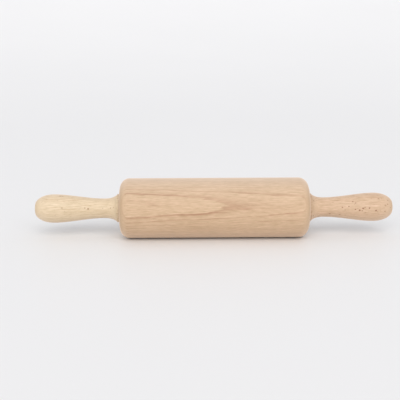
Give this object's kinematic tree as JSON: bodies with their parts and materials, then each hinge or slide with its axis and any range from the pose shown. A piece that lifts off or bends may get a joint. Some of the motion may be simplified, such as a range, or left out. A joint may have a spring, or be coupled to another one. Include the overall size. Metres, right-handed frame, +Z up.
{
  "type": "rolling pin",
  "caption": "Turned beech rolling pin: a thick round-ended barrel that spins on ball bearings between two swelling handles joined by a steel axle.",
  "frame": {"origin": "on the worktop, under the middle of the barrel", "axes": "+X along the axle from the left handle to the right one, +Z up, +Y away from the viewer"},
  "size_m": [0.38, 0.064, 0.0639],
  "materials": {
    "barrel_beech": "bare turned beech, sanded, pinkish tan",
    "pale_beech": "bare turned beech, sanded, pale cream",
    "pink_beech": "bare turned beech, sanded, light tan",
    "axle_steel": "turned bright steel",
    "bearing_steel": "ground and polished steel",
    "zinc_steel": "pressed steel, zinc plated",
    "insert_brass": "machined brass",
    "cage_nylon": "moulded natural nylon"
  },
  "bodies": {
    "axle_and_handles": {"axle": "axle_steel", "left_handle": "pale_beech", "left_handle_insert": "insert_brass", "left_thrust_washer": "zinc_steel", "left_bearing_inner_ring": "bearing_steel", "right_handle": "pink_beech", "right_handle_insert": "insert_brass", "right_thrust_washer": "zinc_steel", "right_bearing_inner_ring": "bearing_steel"},
    "barrel": {"barrel": "barrel_beech", "left_bearing_outer_ring": "bearing_steel", "left_bearing_inner_shield": "zinc_steel", "left_bearing_outer_shield": "zinc_steel", "right_bearing_outer_ring": "bearing_steel", "right_bearing_inner_shield": "zinc_steel", "right_bearing_outer_shield": "zinc_steel"},
    "left_ball_set": {"left_bearing_cage": "cage_nylon", "left_bearing_ball_1": "bearing_steel", "left_bearing_ball_2": "bearing_steel", "left_bearing_ball_3": "bearing_steel", "left_bearing_ball_4": "bearing_steel", "left_bearing_ball_5": "bearing_steel", "left_bearing_ball_6": "bearing_steel", "left_bearing_ball_7": "bearing_steel"},
    "right_ball_set": {"right_bearing_cage": "cage_nylon", "right_bearing_ball_1": "bearing_steel", "right_bearing_ball_2": "bearing_steel", "right_bearing_ball_3": "bearing_steel", "right_bearing_ball_4": "bearing_steel", "right_bearing_ball_5": "bearing_steel", "right_bearing_ball_6": "bearing_steel", "right_bearing_ball_7": "bearing_steel"}
  },
  "joints": [
    {"name": "barrel_spin", "type": "hinge", "parent": "axle_and_handles", "child": "barrel", "pos_m": [0, 0, 0.03196], "axis": [1, 0, 0], "continuous": true},
    {"name": "left_ball_orbit", "type": "hinge", "parent": "axle_and_handles", "child": "left_ball_set", "pos_m": [-0.096, 0, 0.03196], "axis": [1, 0, 0], "continuous": true},
    {"name": "right_ball_orbit", "type": "hinge", "parent": "axle_and_handles", "child": "right_ball_set", "pos_m": [0.096, 0, 0.03196], "axis": [1, 0, 0], "continuous": true}
  ],
  "couplings": [
    {"joint": "left_ball_orbit", "follows": "barrel_spin", "ratio": 0.6317},
    {"joint": "right_ball_orbit", "follows": "barrel_spin", "ratio": 0.6317}
  ]
}
